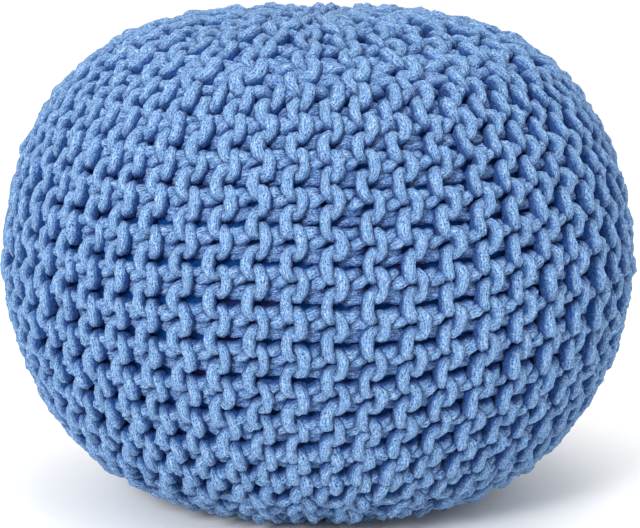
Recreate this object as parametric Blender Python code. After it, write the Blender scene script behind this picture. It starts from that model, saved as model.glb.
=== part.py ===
"""Knitted pouf: one filled solid whose knitted cover stands in ridges of cord.

The cover is a garter knit whose rows run from the top centre to the bottom
centre. Each ridge is a chain of stitches that step right and left in turn.
Every second ridge is a short row, which ends on the shoulder of the pouf, so
half as many ridges reach on towards the centre, and half of those go all the way.
Units are metres, +Z is up, and the origin is the centre of the flat underside.
"""

from math import pi, radians, tau

import bmesh
import bpy
import numpy as np

# The filled form
DIAMETER = 0.500
HEIGHT = 0.390
# Each half of the outline follows (radius / a) ** FLATNESS + (height / b) ** ROUNDNESS = 1.
TOP_FLATNESS = 3.4  # 2 is an ellipse, more is flatter at the centre
TOP_ROUNDNESS = 1.92  # 2 is an ellipse, less is fuller at the waist
BASE_FLATNESS = 3.2
BASE_ROUNDNESS = 1.80
FOOT_PRESS = 0.004  # how much of the round underside is pressed flat by the floor

# The knitting
RIDGES = 52
STITCHES = 24  # along a ridge, from the top centre to the bottom centre
RIDGE_DEPTH = 0.0075  # from the crest of a ridge down to the furrow beside it
STITCH_STEP = 0.0055  # how far a stitch steps to the right or the left of its ridge
SHORT_ROW_STITCHES = 6  # from either centre to the end of a short row
MIDDLE_ROW_STITCHES = 3  # from either centre to the end of the next shortest rows
ROW_END_STITCHES = 1.2  # over which a ridge that ends sinks into the furrows

# The hand-made unevenness
RIDGE_START = 0.64  # share of a ridge between the +X side and the first crest
CROWDING = 0.0088  # how far the cover has shifted round, to crowd its ridges front and back
CROWDED_SIDE = radians(65)  # the middle of one crowded side, as an azimuth
COURSE_WAVE = 0.0040

# The drawn-in centre of the cover on top, and the flat underside
GATHER_RADIUS = 0.022
GATHER_DEPTH = 0.007
FOOT_EDGE = 0.105  # radius inside which the ridges are pressed flat into the underside

# The faces
COLUMNS_PER_RIDGE = 2  # a crest and a furrow
RINGS_PER_STITCH = 2  # a step to the right and a step to the left
OUTLINE_SAMPLES = 4000

CORD_BLUE = (0.159, 0.345, 0.745, 1.0)


def clear_scene():
    for obj in list(bpy.data.objects):
        bpy.data.objects.remove(obj)


def smooth_step(value, start, end):
    """0 before start, 1 after end, and an S-curve between them."""
    share = np.clip((value - start) / (end - start), 0.0, 1.0)
    return share * share * (3.0 - 2.0 * share)


def form_outline():
    """Radius, height and distance along the cover, from the top centre down to the bottom centre."""
    half_height = (HEIGHT + FOOT_PRESS) / 2
    turn = np.linspace(0.0, pi, OUTLINE_SAMPLES)
    flatness = np.where(turn < pi / 2, TOP_FLATNESS, BASE_FLATNESS)
    roundness = np.where(turn < pi / 2, TOP_ROUNDNESS, BASE_ROUNDNESS)
    across = np.abs(np.sin(turn)) ** (2 / flatness)
    up = np.sign(np.cos(turn)) * np.abs(np.cos(turn)) ** (2 / roundness)
    radius = DIAMETER / 2 * across
    height = half_height * (1 + up) - FOOT_PRESS
    steps = np.hypot(np.diff(radius), np.diff(height))
    return radius, height, np.concatenate([[0.0], np.cumsum(steps)])


def ridge_height(column, from_centre):
    """1 on a crest, 0 in a furrow: 52 ridges round the waist, 26 past the short rows, 13 at the centre.

    from_centre is the distance to the nearer centre, in stitches.
    """
    position = tau * column / COLUMNS_PER_RIDGE
    every, second, fourth = (0.5 + 0.5 * np.cos(position / skip) for skip in (1, 2, 4))
    waist = smooth_step(
        from_centre, SHORT_ROW_STITCHES - ROW_END_STITCHES, SHORT_ROW_STITCHES
    )
    shoulder = smooth_step(
        from_centre, MIDDLE_ROW_STITCHES - ROW_END_STITCHES, MIDDLE_ROW_STITCHES
    )
    centre_form = shoulder * second + (1 - shoulder) * fourth
    return waist * every + (1 - waist) * centre_form


def knit_ridges(points):
    """Moves the points of a unit sphere onto the ridged cover."""
    radius, height, along = form_outline()
    columns = RIDGES * COLUMNS_PER_RIDGE
    rings = STITCHES * RINGS_PER_STITCH
    length = along[-1]

    azimuth = np.arctan2(points[:, 1], points[:, 0])
    column = np.round(azimuth / tau * columns)
    ring = np.round(np.arccos(np.clip(points[:, 2], -1.0, 1.0)) / pi * rings)
    from_centre = np.minimum(ring, rings - ring) / RINGS_PER_STITCH
    crest = ridge_height(column, from_centre)
    away_from_centres = np.sin(pi * ring / rings)

    wave = COURSE_WAVE * np.sin(2 * azimuth + 0.7) * away_from_centres**2
    distance = length * ring / rings + wave
    ring_radius = np.interp(distance, along, radius)
    ring_height = np.interp(distance, along, height)
    slope_run = np.interp(distance, along, np.gradient(radius, along))
    slope_rise = np.interp(distance, along, np.gradient(height, along))

    # The furrows lie under the outline, along its normal, and die out on the underside.
    on_underside = ring > rings / 2
    foot = np.where(on_underside, smooth_step(ring_radius, FOOT_EDGE - 0.02, FOOT_EDGE + 0.02), 1.0)
    inward = RIDGE_DEPTH * (1 - crest) * foot
    ring_radius = np.maximum(ring_radius + slope_rise * inward, 0.0)
    ring_height = ring_height - slope_run * inward

    # A stitch steps right on odd rings and left on even ones.
    side = np.where(ring % 2 == 1, 1.0, -1.0)
    step = side * STITCH_STEP * crest * away_from_centres * foot
    start = azimuth + tau * RIDGE_START / RIDGES
    crowding = CROWDING * np.sin(2 * (CROWDED_SIDE - start))
    turned = start + (step + crowding) / (DIAMETER / 2)

    in_gather = np.where(on_underside, 0.0, np.exp(-((ring_radius / GATHER_RADIUS) ** 2)))
    ring_height = np.maximum(ring_height - GATHER_DEPTH * in_gather, 0.0)
    return np.column_stack(
        [ring_radius * np.cos(turned), ring_radius * np.sin(turned), ring_height]
    )


def cord_material():
    material = bpy.data.materials.new("blue_cotton_cord")
    material.use_nodes = True
    shader = material.node_tree.nodes["Principled BSDF"]
    shader.inputs["Base Color"].default_value = CORD_BLUE
    shader.inputs["Roughness"].default_value = 0.95
    shader.inputs["Metallic"].default_value = 0.0
    material.diffuse_color = CORD_BLUE
    return material


def make_pouf(collection):
    bm = bmesh.new()
    bmesh.ops.create_uvsphere(
        bm,
        u_segments=RIDGES * COLUMNS_PER_RIDGE,
        v_segments=STITCHES * RINGS_PER_STITCH,
        radius=1.0,
    )
    points = knit_ridges(np.array([vertex.co for vertex in bm.verts]))
    middle = (points.max(axis=0) + points.min(axis=0)) / 2
    for vertex, point in zip(bm.verts, points - [middle[0], middle[1], 0.0]):
        vertex.co = point
    bmesh.ops.triangulate(bm, faces=bm.faces, quad_method="SHORT_EDGE")
    mesh = bpy.data.meshes.new("knitted_pouf")
    bm.to_mesh(mesh)
    bm.free()
    mesh.shade_smooth()
    mesh.materials.append(cord_material())
    collection.objects.link(bpy.data.objects.new("knitted_pouf", mesh))


def main():
    clear_scene()
    collection = bpy.data.collections.new("knitted_pouf")
    bpy.context.scene.collection.children.link(collection)
    make_pouf(collection)


main()
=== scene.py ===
"""Dresses the knitted pouf: a padded casing under a garter-knitted cover of thick cotton cord.

Each ridge of the knitting is one closed strand of cord. It climbs the right of the ridge as
loop heads, turns over at the ridge's end and comes down the left as the loops between them.
"""

from collections import namedtuple
from math import pi, radians, tau

import bpy
import numpy as np
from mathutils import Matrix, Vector


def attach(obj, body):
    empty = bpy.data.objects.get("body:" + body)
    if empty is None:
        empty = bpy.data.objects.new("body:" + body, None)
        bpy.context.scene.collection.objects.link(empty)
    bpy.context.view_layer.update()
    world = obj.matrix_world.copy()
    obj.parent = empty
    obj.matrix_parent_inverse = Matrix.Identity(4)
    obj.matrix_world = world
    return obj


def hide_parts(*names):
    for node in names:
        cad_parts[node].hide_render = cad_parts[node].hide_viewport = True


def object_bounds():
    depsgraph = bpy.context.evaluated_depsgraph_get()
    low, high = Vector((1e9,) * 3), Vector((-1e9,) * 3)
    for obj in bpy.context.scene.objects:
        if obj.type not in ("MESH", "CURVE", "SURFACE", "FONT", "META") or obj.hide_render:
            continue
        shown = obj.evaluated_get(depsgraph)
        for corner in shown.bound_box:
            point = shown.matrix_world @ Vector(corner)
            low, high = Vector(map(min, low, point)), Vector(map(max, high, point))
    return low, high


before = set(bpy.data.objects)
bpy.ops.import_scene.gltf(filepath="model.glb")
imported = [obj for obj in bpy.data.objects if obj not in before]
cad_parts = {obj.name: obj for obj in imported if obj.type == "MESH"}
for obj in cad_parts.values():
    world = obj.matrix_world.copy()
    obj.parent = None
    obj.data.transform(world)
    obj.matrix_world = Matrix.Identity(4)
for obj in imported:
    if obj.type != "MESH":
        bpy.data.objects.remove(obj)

bl_info = {
    "name": "Knitted Pouf",
    "version": (1, 0, 0),
    "blender": (4, 5, 0),
    "location": "3D View > Sidebar > Pouf",
    "description": "Models a round floor pouf in a thick garter-knitted cord cover",
    "category": "Object",
}

BODY = "root"
POUF_NODE = "knitted_pouf"
FRAME_LOW, FRAME_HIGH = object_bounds()
MM = 0.001
TINY = 1e-9  # taken for a length of zero where it is divided by

# The photograph's frame and where the pouf stands in it
PHOTO_WIDTH_PX = 640
PHOTO_HEIGHT_PX = 528
POUF_CENTRE_PX = (318.0, 256.4)
POUF_RADIUS_PX = 313.0
CAMERA_RADII_AWAY = 8.0
CAMERA_ELEVATION = radians(10.5)

# The floor, and each light's name, place, width and watts
FLOOR_WIDTH = 30.0
LIGHTS_AIM = Vector((0.0, 0.0, 0.2))
SOFTBOXES = (
    ("key_softbox", Vector((-1.4, -3.2, 1.7)), 1.0, 110.0),
    ("top_softbox", Vector((0.2, -0.6, 2.6)), 1.5, 20.0),
)

# The casing
CASING_DEPTH = 0.0115  # it bulges between the stitches, up to the ridges' lower cords
CASING_CLEARANCE = 0.004  # over the floor, for the cords under it
CASING_SEGMENTS = 96
CASING_RINGS = 48
CASING_THREADS = (780.0, 365.0, 1.0)  # round the waist, and from the top centre to the bottom
SLUB_SCALE = 19.0  # patches of slubs to a metre

# The ridges and where they end
OUTLINE_SAMPLES = 4000
GORES = 13
SHORT_FROM_STITCH = 6  # from a centre to the end of every second ridge
MIDDLE_FROM_STITCH = 3  # and to the end of every second one of the rest
ROW_END = 0.012  # over which the furrows widen past the end of a short row
FIRST_HEAD = 0.75  # stitches under the first loop head, which makes both ends of a ridge alike

# The gathered centres
AXIS_MARGIN = 0.002  # from the pouf's axis to the nearest cord
TURN_RADIUS = 0.012  # nearer the axis than this, a step across turns a bend no further round it
GATHER_MARGIN = 0.0134  # from a centre to the first stitch of the ridges that reach it
GATHER_PULL = 0.006  # how far the ends of those ridges are drawn in to close the centre
GATHER_DIP = 0.006  # and how far down
GATHERED = (0.006, 0.032)  # from a centre, over which both ease off
CALM = (0.02, 0.10)  # from a centre, over which the ridges start to wander
CENTRE_GIRTH = 0.8  # the cord's thickness where it is squeezed at a centre
CENTRE_REACH = 0.08  # from a centre to where it is no longer squeezed

# The cord's mesh and its squeezed section
CORD_SIDES = 8
CORD_STEPS = 2  # rings of the cord's mesh to each bend
CORD_SQUEEZE = 0.88  # its width, squeezed by its neighbours, against a free cord's
CORD_RISE = 1.02  # its thickness from its centre outward
CORD_SINK = 1.75  # and from its centre inward, where it sags into the stitches under it
CORD_NUBS = 0.16  # how far its surface stands in and out, as a share of its radius
LUMPS = 0.09  # how much its thickness differs from bend to bend
CREST_DEPTH = 0.6  # of the crests' centrelines under the outline, in thicknesses of cord
FLOOR_REST = 0.33  # and of the lowest centrelines over the floor

# The cord's pattern
CORD_UV = "along_the_cord"
CORD_DEPTH = "depth_under_crest"
CORD_FACING = "faces_outward"
CORD_WALES = 15  # columns of tiny stitches round the cord
CORD_STITCH = 0.0017  # the length of one of them
CORD_SLANT = 1.4  # stitches that the leg of a V would climb across a whole column
CORD_UNEVEN = 2.0  # how far its tiny stitches are pulled about, in stitches
PULL_SCALE = 330.0  # pulls to a metre
DYE_SCALE = 24.0  # patches of paler and deeper dye to a metre
NAP_SCALE = (420.0, 20.0, 1.0)  # wisps of its nap to a metre along it, and to a turn around it
NAP_TURN = 0.45  # how far they are turned round it, in radians
NAP_RELIEF = 1.6  # how high the nap stands, against the tiny stitches

# The knitting
NATURAL_PITCH = 0.0280  # of the ridges, where the bends below fit as they are
NATURAL_STITCH = 0.0283  # and of the stitches along them
CLIMB_LENGTH = 0.98  # of a loop on the way up, against 1.02 on the way down
STRETCH = 0.05  # how much single stitches differ in length
PLUMPNESS = 0.05  # and in thickness
LEAN = 0.05  # and how far they lean
TIP = 0.15  # how far a loop's round end stands out over the rest of it, as a slope

# The unevenness of the ridges is a sum of waves: how many there are, and the range of how many
# times each goes round the pouf, of its radians to a metre along it and of its strength
WAVES = 6
WAVES_ROUND = (1, 9)
WAVES_ALONG = (4.0, 22.0)
WAVE_STRENGTH = (0.5, 1.0)

# One stitch of the strand that climbs a ridge, from the middle of one loop at the back to the
# next, in millimetres. across is to the right of the ridge's middle, along is up from the middle
# of the loop head, out is from the crest's centreline, sag is how much lower the bend hangs in
# both halves of the ridge, spread is the share of the furrow's extra width that a bend takes up
# where the ridges stand far apart, and girth is the cord's thickness against its natural one.
Bend = namedtuple("Bend", "across along out sag spread girth")
CLIMBING_STITCH = (
    Bend(-25.5, -14.15, -18.5, 0.5, 1.0, 0.95),
    Bend(-18.5, -9.9, -10.8, 0.4, 0.9, 1.14),
    Bend(-11.5, -9.2, -7.9, 0.4, 0.35, 1.14),
    Bend(-5.6, -9.6, -7.6, 0.2, 0.0, 0.95),
    Bend(0.0, -9.4, -2.8, 0.0, 0.0, 1.12),
    Bend(4.6, -7.0, -0.6, 0.0, 0.0, 1.18),
    Bend(5.9, 0.0, 0.2, 0.0, 0.0, 1.24),
    Bend(4.9, 6.6, -1.4, 0.0, 0.0, 1.22),
    Bend(0.6, 9.0, -6.0, 0.0, 0.0, 1.08),
    Bend(-4.5, 6.4, -7.6, 0.8, 0.0, 0.95),
    Bend(-10.6, 5.0, -4.0, 2.7, 0.2, 1.20),
    Bend(-16.2, 3.0, -8.2, 3.0, 0.8, 1.14),
)
FIRST_HEAD_BEND = 5
LAST_HEAD_BEND = 7
# The turn at the end of a ridge, hidden behind the last loop head, from its top to the first
# loop of the way down
RIDGE_END_TURN = (
    Bend(3.6, 8.4, -6.2, 0.0, 0.0, 0.90),
    Bend(4.2, 3.4, -10.2, 0.0, 0.0, 0.85),
    Bend(4.2, -3.4, -11.0, 0.0, 0.0, 0.85),
    Bend(2.6, -7.4, -8.0, 0.0, 0.0, 0.90),
    Bend(-1.4, -6.8, -4.0, 0.0, 0.0, 1.10),
)

# How stitches take up the room between the ridges. From start to full, as shares of the natural
# pitch, they grow by these shares of their width, of how far they stand in and out, and of the
# cord's thickness. Under the natural pitch they also narrow with it, down to TIGHTEST.
Room = namedtuple("Room", "start full width relief girth")
ROOMY = Room(1.0, 1.18, 0.04, 0.0, 0.12)
LOOSE = Room(1.12, 1.45, 0.26, -0.35, 0.12)
CROWDED = Room(1.0, 0.85, 0.0, 0.0, 0.09)
TIGHTEST = 0.4


def srgb(code):
    """A hex colour such as "#7FA9E8" as linear RGBA."""
    parts = [int(code[i : i + 2], 16) / 255 for i in (1, 3, 5)]
    linear = [p / 12.92 if p <= 0.04045 else ((p + 0.055) / 1.055) ** 2.4 for p in parts]
    return (*linear, 1.0)


def add_node(tree, kind, settings=None, **links):
    """Adds a node. Each link is a value, or an output to link, for the input of that name.

    An input that shares its name with others goes by its number, as i0, i1 and so on.
    """
    node = tree.nodes.new(kind)
    for name, value in (settings or {}).items():
        setattr(node, name, value)
    for name, value in links.items():
        numbered = name[0] == "i" and name[1:].isdigit()
        socket = node.inputs[int(name[1:]) if numbered else name]
        if isinstance(value, bpy.types.NodeSocket):
            tree.links.new(value, socket)
        else:
            socket.default_value = value
    return node


def new_material(name, roughness, specular):
    """A material, with its node tree and its shader."""
    material = bpy.data.materials.new(name)
    material.use_nodes = True
    tree = material.node_tree
    shader = tree.nodes["Principled BSDF"]
    shader.inputs["Roughness"].default_value = roughness
    shader.inputs["Specular IOR Level"].default_value = specular
    return material, tree, shader


class PoufForm(bpy.types.PropertyGroup):
    """The filled form that the cover is stretched over"""

    diameter: bpy.props.FloatProperty(
        name="Diameter",
        description="Across the ridges at the waist",
        default=FRAME_HIGH.x - FRAME_LOW.x,
        unit="LENGTH",
    )
    height: bpy.props.FloatProperty(
        name="Height",
        description="From the floor to the top of the shoulder",
        default=FRAME_HIGH.z - FRAME_LOW.z,
        unit="LENGTH",
    )
    top_flatness: bpy.props.FloatProperty(
        name="Top flatness",
        description="2 is an ellipse, more is flatter on top",
        default=3.4,
    )
    top_roundness: bpy.props.FloatProperty(
        name="Top roundness",
        description="2 is an ellipse, less is fuller at the waist",
        default=1.92,
    )
    base_flatness: bpy.props.FloatProperty(
        name="Base flatness",
        description="2 is an ellipse, more is flatter below",
        default=3.2,
    )
    base_roundness: bpy.props.FloatProperty(
        name="Base roundness",
        description="2 is an ellipse, less is fuller at the waist",
        default=1.80,
    )
    foot_press: bpy.props.FloatProperty(
        name="Foot press",
        description="How much of the round underside the floor presses flat",
        default=0.004,
        unit="LENGTH",
    )


class PoufKnit(bpy.types.PropertyGroup):
    """The knitting of the cover and its unevenness"""

    ridges: bpy.props.IntProperty(
        name="Ridges",
        description="Round the waist",
        default=52,
    )
    stitches: bpy.props.IntProperty(
        name="Stitches",
        description="Along a full ridge, from centre to centre",
        default=24,
    )
    cord: bpy.props.FloatProperty(
        name="Cord",
        description="Diameter of the cotton cord",
        default=0.0088,
        unit="LENGTH",
    )
    start: bpy.props.FloatProperty(
        name="Start",
        description="Share of a ridge between the +X side and the first crest",
        default=0.64,
    )
    crowding: bpy.props.FloatProperty(
        name="Crowding",
        description="How far the cover has shifted round, to crowd its ridges front and back",
        default=0.0088,
        unit="LENGTH",
    )
    crowded_side: bpy.props.FloatProperty(
        name="Crowded side",
        description="Azimuth of the middle of one crowded side",
        default=radians(65),
        unit="ROTATION",
    )
    wander: bpy.props.FloatProperty(
        name="Wander",
        description="How far hand tension shifts a ridge",
        default=0.0013,
        unit="LENGTH",
    )
    slack: bpy.props.FloatProperty(
        name="Slack",
        description="How much single stitches differ",
        default=0.0007,
        unit="LENGTH",
    )
    seed: bpy.props.IntProperty(
        name="Seed",
        description="Of the unevenness",
        default=7,
    )


class PoufColours(bpy.types.PropertyGroup):
    """The colours of the cord, the casing and the backdrop, and the painted shade and highlight on
    the cord
    """

    cord: bpy.props.FloatVectorProperty(
        name="Cord",
        description="Dyed cotton",
        subtype="COLOR",
        size=4,
        default=srgb("#719BCB"),
    )
    cord_shade: bpy.props.FloatVectorProperty(
        name="Cord shade",
        description="Where the dye took more",
        subtype="COLOR",
        size=4,
        default=srgb("#5D8AC0"),
    )
    # Painted shade on the sides of the cord that face away from the outside
    flank_shade: bpy.props.FloatVectorProperty(
        name="Flank",
        description="Unrubbed sides of the cord",
        subtype="COLOR",
        size=4,
        default=srgb("#073E81"),
    )
    # Painted shade on the cord that lies deep in the furrows
    furrow_shade: bpy.props.FloatVectorProperty(
        name="Furrow",
        description="Unrubbed cord deep in the furrows",
        subtype="COLOR",
        size=4,
        default=srgb("#034DA6"),
    )
    # Pale fibres: real nap, and a painted highlight where the cord faces out
    nap: bpy.props.FloatVectorProperty(
        name="Nap",
        description="Loose fibres on the cord",
        subtype="COLOR",
        size=4,
        default=srgb("#B8D4F5"),
    )
    # Painted shade in the pinholes between the cord's own stitches
    pinhole_shade: bpy.props.FloatVectorProperty(
        name="Pinholes",
        description="Between the cord's own stitches",
        subtype="COLOR",
        size=4,
        default=srgb("#0A4188"),
    )
    casing: bpy.props.FloatVectorProperty(
        name="Casing",
        description="Inner bag's cloth",
        subtype="COLOR",
        size=4,
        default=srgb("#0D4286"),
    )
    casing_slub: bpy.props.FloatVectorProperty(
        name="Casing slub",
        description="Plum threads in it",
        subtype="COLOR",
        size=4,
        default=srgb("#2B1A40"),
    )
    stage: bpy.props.FloatVectorProperty(
        name="Stage",
        description="Backdrop paper",
        subtype="COLOR",
        size=4,
        default=srgb("#FFFFFF"),
    )
    stage_fibre: bpy.props.FloatVectorProperty(
        name="Stage fibre",
        description="Fibres in the paper",
        subtype="COLOR",
        size=4,
        default=srgb("#FAFAF8"),
    )


def smooth_step(value, start, end):
    """0 before start, 1 after end, and an S-curve between them."""
    share = np.clip((value - start) / (end - start), 0.0, 1.0)
    return share * share * (3.0 - 2.0 * share)


class Outline:
    """The pouf's side outline, measured along the cover from the top centre to the bottom one."""

    def __init__(self, form):
        half_height = (form.height + form.foot_press) / 2
        turn = np.linspace(0.0, pi, OUTLINE_SAMPLES)
        flatness = np.where(turn < pi / 2, form.top_flatness, form.base_flatness)
        roundness = np.where(turn < pi / 2, form.top_roundness, form.base_roundness)
        up = np.sign(np.cos(turn)) * np.abs(np.cos(turn)) ** (2 / roundness)
        self.radius = form.diameter / 2 * np.abs(np.sin(turn)) ** (2 / flatness)
        self.height = half_height * (1 + up) - form.foot_press
        steps = np.hypot(np.diff(self.radius), np.diff(self.height))
        self.along = np.concatenate([[0.0], np.cumsum(steps)])
        self.length = self.along[-1]
        self.run = np.gradient(self.radius, self.along)
        self.rise = np.gradient(self.height, self.along)
        self.middle = half_height - form.foot_press
        self.bearing = np.arctan2(self.height - self.middle, self.radius)[::-1]
        self.reach = np.hypot(self.height - self.middle, self.radius)[::-1]

    def radius_at(self, distance):
        return np.interp(distance, self.along, self.radius)

    def place(self, azimuth, distance, depth):
        """Points at this azimuth and distance from the top centre, this deep under the outline."""
        radius = self.radius_at(distance)
        height = np.interp(distance, self.along, self.height)
        run = np.interp(distance, self.along, self.run)
        rise = np.interp(distance, self.along, self.rise)
        size = np.hypot(run, rise)
        radius = np.maximum(radius + rise / size * depth, AXIS_MARGIN)
        height = height - run / size * depth
        return np.stack([radius * np.cos(azimuth), radius * np.sin(azimuth), height], axis=-1)

    def under(self, points):
        """How deep points are under the outline, seen from the pouf's middle, and the way out."""
        radius = np.hypot(points[:, 0], points[:, 1])
        height = points[:, 2] - self.middle
        bearing = np.arctan2(height, radius)
        depth = np.interp(bearing, self.bearing, self.reach) - np.hypot(radius, height)
        out = np.interp(bearing, self.bearing, -self.rise[::-1])
        up = np.interp(bearing, self.bearing, self.run[::-1])
        size = np.maximum(np.hypot(out, up) * radius, TINY)
        ways = [out * points[:, 0] / size, out * points[:, 1] / size, up * radius / size]
        return depth, np.stack(ways, axis=-1)


def uneven_field(rng, reach):
    """A smooth random shift over azimuth and distance, which closes round the pouf."""
    turns = rng.integers(*WAVES_ROUND, WAVES)
    rows = rng.uniform(*WAVES_ALONG, WAVES)
    phase = rng.uniform(0.0, tau, WAVES)
    size = rng.uniform(*WAVE_STRENGTH, WAVES)
    size *= reach / np.sqrt((size**2).sum() / 2)

    def shift(azimuth, distance):
        angle = azimuth * turns + np.multiply.outer(distance, rows) + phase
        return (np.sin(angle) * size).sum(axis=-1)

    return shift


def ridge_half(first, last):
    """The bends of a ridge's climbing half, in metres, each with the number of its stitch."""
    bends = []
    for number in range(first, last + 1):
        start = FIRST_HEAD_BEND if number == first else 0
        end = LAST_HEAD_BEND if number == last else len(CLIMBING_STITCH) - 1
        bends += [(*bend, number) for bend in CLIMBING_STITCH[start : end + 1]]
    bends += [(*bend, last) for bend in RIDGE_END_TURN]
    half = np.array(bends)
    half[:, : Bend._fields.index("spread")] *= MM
    return half


def ridge_bends(knit, first, last, stitch, rng):
    """Across, along, out, spread and girth of each bend in both halves of a ridge's strand."""
    halves = []
    for turned, length in ((1.0, CLIMB_LENGTH), (-1.0, 2.0 - CLIMB_LENGTH)):
        across, along, out, sag, spread, girth, row = ridge_half(first, last).T
        # Single stitches differ in six ways, and not where they meet the next ridge's.
        uneven = rng.normal(0.0, 1.0, (6, knit.stitches))[:, row.astype(int)] * (1.0 - spread)
        stretch, aside, ahead, proud, plump, lean = uneven
        across = across + LEAN * lean * along
        out = out + TIP * along * (1.0 - spread) + knit.slack * proud
        length = length * stitch / NATURAL_STITCH + STRETCH * stretch
        along = along * length + row * stitch
        if turned < 0:
            # The way down is the way up, mirrored, upside down and half a stitch lower.
            along = (first + last - 0.5) * stitch - along
        across = turned * across + knit.slack * aside
        along = along - sag + knit.slack * ahead
        girth = girth + PLUMPNESS * plump + LUMPS * rng.normal(0.0, 1.0, len(girth))
        halves.append((across, along, out, spread, girth))
    return np.concatenate(halves, axis=1)


def ridge_pitch(outline, knit, distance, from_centre, stitch):
    """How far apart the ridges are, which doubles past each end of shorter rows."""
    doublings = 2.0
    for short_by in (SHORT_FROM_STITCH, MIDDLE_FROM_STITCH):
        end = GATHER_MARGIN + short_by * stitch
        doublings = doublings - smooth_step(from_centre, end - ROW_END, end + ROW_END)
    return tau * outline.radius_at(distance) / knit.ridges * 2.0**doublings


def ridge_strand(outline, knit, number, rng, fields):
    """Centre points and girths of one ridge's closed strand."""
    first = 0
    if number % 2:
        first = SHORT_FROM_STITCH
    elif number % 4 == 2:
        first = MIDDLE_FROM_STITCH
    last = knit.stitches - 1 - first
    stitch = (outline.length - 2 * GATHER_MARGIN) / knit.stitches
    across, along, out, spread, girth = ridge_bends(knit, first, last, stitch, rng)

    azimuth = tau * (number + knit.start) / knit.ridges
    shift = knit.crowding / outline.radius.max()
    crowd = 1.0 - 2.0 * shift * np.cos(2 * (knit.crowded_side - azimuth))
    azimuth += shift * np.sin(2 * (knit.crowded_side - azimuth))

    distance = outline.length - GATHER_MARGIN - along - stitch * FIRST_HEAD
    from_centre = np.minimum(distance, outline.length - distance)
    pitch = ridge_pitch(outline, knit, distance, from_centre, stitch) * crowd
    wider, relief, thicker = 0.0, 1.0, 1.0
    for room in (ROOMY, LOOSE, CROWDED):
        share = smooth_step(pitch / NATURAL_PITCH, room.start, room.full)
        wider = wider + room.width * share
        relief = relief + room.relief * share
        thicker = thicker + room.girth * share
    snug = np.clip(pitch / NATURAL_PITCH, TIGHTEST, 1.0)
    across = across * snug * (1.0 + wider * (1.0 - spread))
    across += np.sign(across) * spread * np.maximum(pitch - NATURAL_PITCH, 0.0) / 2

    calm = smooth_step(from_centre, *CALM)
    across = across + fields["across"](azimuth, distance) * calm
    distance = distance + fields["along"](azimuth, distance) * calm
    radius = np.maximum(outline.radius_at(distance), TURN_RADIUS)
    gathered = 1.0 - smooth_step(from_centre, *GATHERED)
    pull = GATHER_PULL * gathered * np.sign(outline.length / 2 - distance)
    depth = CORD_RISE * knit.cord * CREST_DEPTH - out * relief + GATHER_DIP * gathered
    points = outline.place(azimuth + across / radius, distance - pull, depth)
    points[:, 2] = np.maximum(points[:, 2], knit.cord * FLOOR_REST)
    free = smooth_step(from_centre, 0.0, CENTRE_REACH)
    return points, girth * thicker * (CENTRE_GIRTH + (1.0 - CENTRE_GIRTH) * free)


def select_only(obj):
    bpy.ops.object.select_all(action="DESELECT")
    obj.select_set(True)
    bpy.context.view_layer.objects.active = obj


def vertex_points(mesh):
    points = np.empty(len(mesh.vertices) * 3)
    mesh.vertices.foreach_get("co", points)
    return points.reshape(-1, 3)


def cord_mesh(name, strands, diameter):
    """Closed strands as one mesh of round cord, with metres along it and turns round it as UV."""
    bpy.ops.curve.primitive_bezier_curve_add(location=(0, 0, 0))
    piece = bpy.context.object
    piece.name = name
    curve = piece.data
    curve.splines.clear()
    curve.dimensions = "3D"
    curve.resolution_u = CORD_STEPS
    curve.bevel_depth = diameter / 2
    curve.bevel_resolution = (CORD_SIDES - 4) // 2
    for points, girth in strands:
        spline = curve.splines.new("BEZIER")
        spline.bezier_points.add(len(points) - 1)
        spline.bezier_points.foreach_set("co", points.ravel())
        spline.bezier_points.foreach_set("radius", girth)
        for point in spline.bezier_points:
            point.handle_left_type = "AUTO"
            point.handle_right_type = "AUTO"
        spline.use_cyclic_u = True
    select_only(piece)
    bpy.ops.object.convert(target="MESH")
    piece = bpy.context.object
    measure_cord(piece.data, [len(points) * CORD_STEPS for points, _ in strands])
    return piece


def measure_cord(mesh, ring_counts):
    """Makes the UV map that the bevelled curves left run in metres along each strand."""
    centres = vertex_points(mesh).reshape(-1, CORD_SIDES, 3).mean(axis=1)
    uv = np.empty(len(mesh.loops) * 2)
    layer = mesh.uv_layers[0]
    layer.name = CORD_UV
    layer.data.foreach_get("uv", uv)
    uv = uv.reshape(-1, 2)
    ring_corners = CORD_SIDES * 4
    start = 0
    for rings in ring_counts:
        strand = centres[start : start + rings]
        steps = np.linalg.norm(np.roll(strand, -1, axis=0) - strand, axis=1)
        metres = np.concatenate([[0.0], np.cumsum(steps)])
        corners = slice(start * ring_corners, (start + rings) * ring_corners)
        uv[corners, 0] = np.interp(uv[corners, 0] * rings, np.arange(rings + 1), metres)
        start += rings
    layer.data.foreach_set("uv", uv.ravel())


def squeeze_cord(mesh, outline, rng):
    """Gives round cord its squeezed section, and presses the lowest cords flat on the floor.

    Two attributes keep how deep each point lay under the outline, and how far it faced out; the
    cord's material paints shade and highlight with them.
    """
    points = vertex_points(mesh)
    depth, outward = outline.under(points)
    rings = points.reshape(-1, CORD_SIDES, 3)
    spokes = (rings - rings.mean(axis=1, keepdims=True)).reshape(-1, 3)
    rise = (spokes * outward).sum(axis=1)
    facing = rise / np.linalg.norm(spokes, axis=1)
    for name, values in ((CORD_DEPTH, depth), (CORD_FACING, facing)):
        mesh.attributes.new(name, "FLOAT", "POINT").data.foreach_set("value", values)
    swell = np.where(rise > 0.0, CORD_RISE, CORD_SINK) - CORD_SQUEEZE
    nubs = CORD_NUBS * rng.uniform(-1.0, 1.0, len(points))
    points += spokes * (CORD_SQUEEZE - 1.0 + nubs)[:, None] + outward * (rise * swell)[:, None]
    points[:, 2] = np.maximum(points[:, 2], 0.0)
    mesh.vertices.foreach_set("co", points.ravel())


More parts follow.
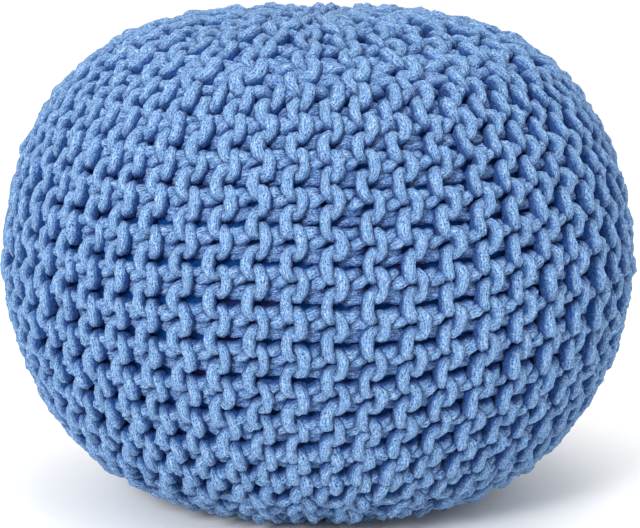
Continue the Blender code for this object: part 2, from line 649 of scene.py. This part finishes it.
def cord_material(colours):
    """Tube-knitted cotton cord: matte and a little fuzzy, with tiny V stitches round it.

    A pale nap stands up on it in wisps, painted mostly on its outward side as a painted highlight,
    while its flanks and the cords deep in the furrows get painted shade. Dark pinholes of painted
    shade show between the legs of the Vs. The stitches are drawn a third longer than real ones, so
    that they show.
    """
    material, tree, shader = new_material("tube_knit_cotton_cord", 0.92, 0.12)
    shader.inputs["Sheen Weight"].default_value = 0.12
    shader.inputs["Sheen Roughness"].default_value = 0.6
    shader.inputs["Sheen Tint"].default_value = colours.nap

    # The dye takes unevenly, and the cord's own stitches are pulled about.
    body = add_node(tree, "ShaderNodeTexCoord").outputs["Object"]
    dye = add_node(tree, "ShaderNodeTexNoise", Vector=body, Scale=DYE_SCALE, Detail=2.0)
    pull = add_node(tree, "ShaderNodeTexNoise", Vector=body, Scale=PULL_SCALE, Detail=1.0)
    tug = add_node(tree, "ShaderNodeSeparateXYZ", Vector=pull.outputs["Color"])

    # Nap lies along the cord, turned a little round it, in wisps about 2 mm long.
    place = add_node(tree, "ShaderNodeUVMap", {"uv_map": CORD_UV}).outputs["UV"]
    combed = add_node(
        tree, "ShaderNodeMapping", Vector=place, Scale=NAP_SCALE, Rotation=(0.0, 0.0, NAP_TURN)
    )
    nap = add_node(
        tree,
        "ShaderNodeTexNoise",
        Vector=combed.outputs[0],
        Scale=1.0,
        Detail=3.0,
        Distortion=0.8,
    )

    # The cord's own stitches: leg runs from 0 at the side of a V to 0.5 at its point, and yarn
    # from 0 between two Vs to 0.5 on the crown of one.
    split = add_node(tree, "ShaderNodeSeparateXYZ", Vector=place)
    shift = add_node(
        tree, "ShaderNodeMath", {"operation": "MULTIPLY"}, i0=tug.outputs["X"], i1=CORD_UNEVEN
    )
    wale = add_node(
        tree,
        "ShaderNodeMath",
        {"operation": "MULTIPLY_ADD"},
        i0=split.outputs["Y"],
        i1=CORD_WALES,
        i2=shift.outputs[0],
    )
    leg = add_node(tree, "ShaderNodeMath", {"operation": "PINGPONG"}, i0=wale.outputs[0], i1=0.5)
    stretch = add_node(
        tree, "ShaderNodeMath", {"operation": "MULTIPLY"}, i0=tug.outputs["Y"], i1=CORD_UNEVEN
    )
    slant = add_node(
        tree,
        "ShaderNodeMath",
        {"operation": "MULTIPLY_ADD"},
        i0=leg.outputs[0],
        i1=CORD_SLANT,
        i2=stretch.outputs[0],
    )
    row = add_node(
        tree,
        "ShaderNodeMath",
        {"operation": "MULTIPLY_ADD"},
        i0=split.outputs["X"],
        i1=1 / CORD_STITCH,
        i2=slant.outputs[0],
    )
    yarn = add_node(tree, "ShaderNodeMath", {"operation": "PINGPONG"}, i0=row.outputs[0], i1=0.5)
    crown = add_node(
        tree,
        "ShaderNodeMapRange",
        {"interpolation_type": "SMOOTHSTEP"},
        Value=yarn.outputs[0],
        **{"From Min": 0.02, "From Max": 0.34},
    )
    notch = add_node(
        tree,
        "ShaderNodeMapRange",
        {"interpolation_type": "SMOOTHSTEP"},
        Value=leg.outputs[0],
        **{"From Min": 0.5, "From Max": 0.24},
    )
    relief = add_node(
        tree,
        "ShaderNodeMath",
        {"operation": "SMOOTH_MAX"},
        i0=crown.outputs[0],
        i1=notch.outputs[0],
        i2=0.4,
    )
    height = add_node(
        tree,
        "ShaderNodeMath",
        {"operation": "MULTIPLY_ADD"},
        i0=nap.outputs["Fac"],
        i1=NAP_RELIEF,
        i2=relief.outputs[0],
    )
    # Painted shade in the pinholes, where the tiny stitches and the nap stand lowest
    pinhole_shade = add_node(
        tree,
        "ShaderNodeMapRange",
        Value=height.outputs[0],
        **{"From Min": 1.55, "From Max": 0.85},
    )

    # Painted shade where the surface is turned away and where it lies deep under the crests. Its
    # pale fibres are real nap, but are painted mostly where it faces out: painted highlight on the
    # crowns.
    facing = add_node(tree, "ShaderNodeAttribute", {"attribute_name": CORD_FACING})
    turned = add_node(
        tree,
        "ShaderNodeMapRange",
        {"interpolation_type": "SMOOTHSTEP"},
        Value=facing.outputs["Fac"],
        **{"From Min": 0.95, "From Max": 0.1},
    )
    deep = add_node(tree, "ShaderNodeAttribute", {"attribute_name": CORD_DEPTH})
    furrow_depth_shade = add_node(
        tree,
        "ShaderNodeMapRange",
        Value=deep.outputs["Fac"],
        **{"From Min": 0.003, "From Max": 0.016},
    )
    fibre = add_node(
        tree,
        "ShaderNodeMapRange",
        Value=nap.outputs["Fac"],
        **{"From Min": 0.42, "From Max": 0.72, "To Max": 0.75},
    )
    lit_crown_share = add_node(
        tree,
        "ShaderNodeMapRange",
        Value=turned.outputs[0],
        **{"To Min": 1.0, "To Max": 0.15},
    )
    nap_and_crown_highlight = add_node(
        tree,
        "ShaderNodeMath",
        {"operation": "MULTIPLY"},
        i0=fibre.outputs[0],
        i1=lit_crown_share.outputs[0],
    )

    # Dye patches, then painted shade on turned-away flanks and deep cords, the pale nap with its
    # painted highlight on the crowns, and painted shade in the pinholes
    colour = colours.cord
    for share, over in (
        (dye.outputs["Fac"], colours.cord_shade),
        (turned.outputs[0], colours.flank_shade),
        (furrow_depth_shade.outputs[0], colours.furrow_shade),
        (nap_and_crown_highlight.outputs[0], colours.nap),
        (pinhole_shade.outputs[0], colours.pinhole_shade),
    ):
        mixed = add_node(
            tree, "ShaderNodeMix", {"data_type": "RGBA"}, Factor=share, i6=colour, i7=over
        )
        colour = mixed.outputs[2]
    tree.links.new(colour, shader.inputs["Base Color"])
    bump = add_node(
        tree, "ShaderNodeBump", Height=height.outputs[0], Distance=0.0016, Strength=1.0
    )
    tree.links.new(bump.outputs["Normal"], shader.inputs["Normal"])
    return material


def casing_material(colours):
    """Plain-woven cotton casing: matte navy cloth, with threads over and under one another.

    Only slits of it show between the stitches, some of them plum, so slubs of plum thread run
    through it. The threads are drawn 2 mm wide, twice as coarse as real ones, so that they show.
    """
    material, tree, shader = new_material("plain_woven_cotton_casing", 0.95, 0.05)

    body = add_node(tree, "ShaderNodeTexCoord")
    slub = add_node(
        tree, "ShaderNodeTexNoise", Vector=body.outputs["Object"], Scale=SLUB_SCALE, Detail=2.0
    )
    plum = add_node(
        tree,
        "ShaderNodeMapRange",
        Value=slub.outputs["Fac"],
        **{"From Min": 0.54, "From Max": 0.66, "To Max": 0.8},
    )
    dyed = add_node(
        tree,
        "ShaderNodeMix",
        {"data_type": "RGBA"},
        Factor=plum.outputs[0],
        i6=colours.casing,
        i7=colours.casing_slub,
    )

    # Painted shade on the threads that pass under the others.
    threads = add_node(
        tree,
        "ShaderNodeVectorMath",
        {"operation": "MULTIPLY"},
        i0=body.outputs["UV"],
        i1=CASING_THREADS,
    )
    weave = add_node(tree, "ShaderNodeTexChecker", Vector=threads.outputs[0], Scale=1.0)
    under = add_node(tree, "ShaderNodeMapRange", Value=weave.outputs["Fac"], **{"To Min": 0.72})
    shaded = add_node(
        tree,
        "ShaderNodeVectorMath",
        {"operation": "SCALE"},
        i0=dyed.outputs[2],
        Scale=under.outputs[0],
    )
    tree.links.new(shaded.outputs[0], shader.inputs["Base Color"])
    bump = add_node(
        tree, "ShaderNodeBump", Height=weave.outputs["Fac"], Distance=0.0004, Strength=0.6
    )
    tree.links.new(bump.outputs["Normal"], shader.inputs["Normal"])
    return material


def paper_material(colours):
    """Seamless backdrop paper: white and matte, with a faint mottle of pressed fibres.

    The mottle is drawn at 6 mm, coarser than real fibres.
    """
    material, tree, shader = new_material("white_backdrop_paper", 0.95, 0.1)
    body = add_node(tree, "ShaderNodeTexCoord").outputs["Object"]
    fibres = add_node(tree, "ShaderNodeTexNoise", Vector=body, Scale=160.0, Detail=3.0)
    mottle = add_node(
        tree,
        "ShaderNodeMix",
        {"data_type": "RGBA"},
        Factor=fibres.outputs["Fac"],
        i6=colours.stage,
        i7=colours.stage_fibre,
    )
    tree.links.new(mottle.outputs[2], shader.inputs["Base Color"])
    bump = add_node(
        tree, "ShaderNodeBump", Height=fibres.outputs["Fac"], Distance=0.0002, Strength=0.3
    )
    tree.links.new(bump.outputs["Normal"], shader.inputs["Normal"])
    return material


class POUF_OT_casing(bpy.types.Operator):
    """Models the padded inner bag that fills the cover and shows dark between the stitches"""

    bl_idname = "pouf.casing"
    bl_label = "Fill the casing"

    def execute(self, context):
        scene = context.scene
        outline = Outline(scene.pouf_form)
        bpy.ops.mesh.primitive_uv_sphere_add(
            segments=CASING_SEGMENTS, ring_count=CASING_RINGS, radius=1.0
        )
        piece = context.object
        piece.name = "filled_casing"
        mesh = piece.data
        points = vertex_points(mesh)
        azimuth = np.arctan2(points[:, 1], points[:, 0])
        distance = np.arccos(np.clip(points[:, 2], -1.0, 1.0)) / pi * outline.length
        depth = scene.pouf_knit.cord / 2 + CASING_DEPTH
        placed = outline.place(azimuth, distance, depth)
        poles = [points[:, 2].argmin(), points[:, 2].argmax()]
        placed[poles, :2] = 0.0
        placed[:, 2] = np.maximum(placed[:, 2], CASING_CLEARANCE)
        mesh.vertices.foreach_set("co", placed.ravel())
        select_only(piece)
        bpy.ops.object.shade_smooth()
        mesh.materials.append(casing_material(scene.pouf_colours))
        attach(piece, BODY)
        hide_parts(POUF_NODE)
        return {"FINISHED"}


class POUF_OT_knit(bpy.types.Operator):
    """Knits the ridges of the cover, in gores that each hold a few ridges"""

    bl_idname = "pouf.knit"
    bl_label = "Knit the ridges"

    def execute(self, context):
        scene = context.scene
        outline = Outline(scene.pouf_form)
        knit = scene.pouf_knit
        rng = np.random.default_rng(knit.seed)
        fields = {way: uneven_field(rng, knit.wander) for way in ("across", "along")}
        material = cord_material(scene.pouf_colours)
        for gore in range(GORES):
            numbers = range(gore * knit.ridges // GORES, (gore + 1) * knit.ridges // GORES)
            strands = [ridge_strand(outline, knit, number, rng, fields) for number in numbers]
            piece = cord_mesh(f"knit_gore_{gore + 1}", strands, knit.cord)
            squeeze_cord(piece.data, outline, rng)
            piece.data.materials.append(material)
            bpy.ops.object.shade_smooth()
            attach(piece, BODY)
            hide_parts(POUF_NODE)
        return {"FINISHED"}


class POUF_OT_stage(bpy.types.Operator):
    """Lays the pale floor, and sets the lights and the camera"""

    bl_idname = "pouf.stage"
    bl_label = "Set the stage"

    def execute(self, context):
        scene = context.scene
        bpy.ops.mesh.primitive_plane_add(size=FLOOR_WIDTH, location=(0, 0, 0))
        floor = context.object
        floor.name = "pale_floor"
        floor.data.materials.append(paper_material(scene.pouf_colours))

        world = bpy.data.worlds.new("soft_white_room")
        world.use_nodes = True
        background = world.node_tree.nodes["Background"]
        background.inputs["Color"].default_value = (1, 1, 1, 1)
        background.inputs["Strength"].default_value = 1.0
        scene.world = world

        for name, place, width, watts in SOFTBOXES:
            bpy.ops.object.light_add(type="AREA", location=place)
            light = context.object
            light.name = name
            light.data.size = width
            light.data.energy = watts
            light.rotation_mode = "QUATERNION"
            light.rotation_quaternion = (LIGHTS_AIM - place).to_track_quat("-Z", "Y")

        form = scene.pouf_form
        radius = form.diameter / 2
        centre = Vector((0.0, 0.0, (form.height - form.foot_press) / 2))
        back = Vector((0.0, -np.cos(CAMERA_ELEVATION), np.sin(CAMERA_ELEVATION)))
        metres_per_px = radius / POUF_RADIUS_PX
        right_px = PHOTO_WIDTH_PX / 2 - POUF_CENTRE_PX[0]
        down_px = PHOTO_HEIGHT_PX / 2 - POUF_CENTRE_PX[1]
        target = centre + Vector((right_px * metres_per_px, 0.0, -down_px * metres_per_px))
        away = CAMERA_RADII_AWAY * radius
        bpy.ops.object.camera_add(location=target + back * away)
        camera = context.object
        camera.name = "photo_camera"
        camera.rotation_mode = "QUATERNION"
        camera.rotation_quaternion = (-back).to_track_quat("-Z", "Y")
        pouf_share = POUF_RADIUS_PX / PHOTO_WIDTH_PX
        camera.data.lens = camera.data.sensor_width * pouf_share * CAMERA_RADII_AWAY
        scene.camera = camera
        scene.view_settings.view_transform = "Standard"
        return {"FINISHED"}


GROUPS = {"pouf_form": PoufForm, "pouf_knit": PoufKnit, "pouf_colours": PoufColours}
OPERATORS = (POUF_OT_casing, POUF_OT_knit, POUF_OT_stage)


class POUF_PT_panel(bpy.types.Panel):
    """Lists the sizes and colours of the pouf, and the steps that make it"""

    bl_idname = "POUF_PT_panel"
    bl_label = "Knitted Pouf"
    bl_space_type = "VIEW_3D"
    bl_region_type = "UI"
    bl_category = "Pouf"

    def draw(self, context):
        for name in GROUPS:
            group = getattr(context.scene, name)
            box = self.layout.box()
            for setting in group.__annotations__:
                box.prop(group, setting)
        for operator in OPERATORS:
            self.layout.operator(operator.bl_idname)


def register():
    for kind in (*GROUPS.values(), *OPERATORS, POUF_PT_panel):
        bpy.utils.register_class(kind)
    for name, group in GROUPS.items():
        setattr(bpy.types.Scene, name, bpy.props.PointerProperty(type=group))


def unregister():
    for name in GROUPS:
        delattr(bpy.types.Scene, name)
    for kind in (POUF_PT_panel, *reversed(OPERATORS), *reversed(GROUPS.values())):
        bpy.utils.unregister_class(kind)


def main():
    register()
    bpy.ops.pouf.casing()
    bpy.ops.pouf.knit()
    bpy.ops.pouf.stage()


if __name__ == "__main__":
    main()
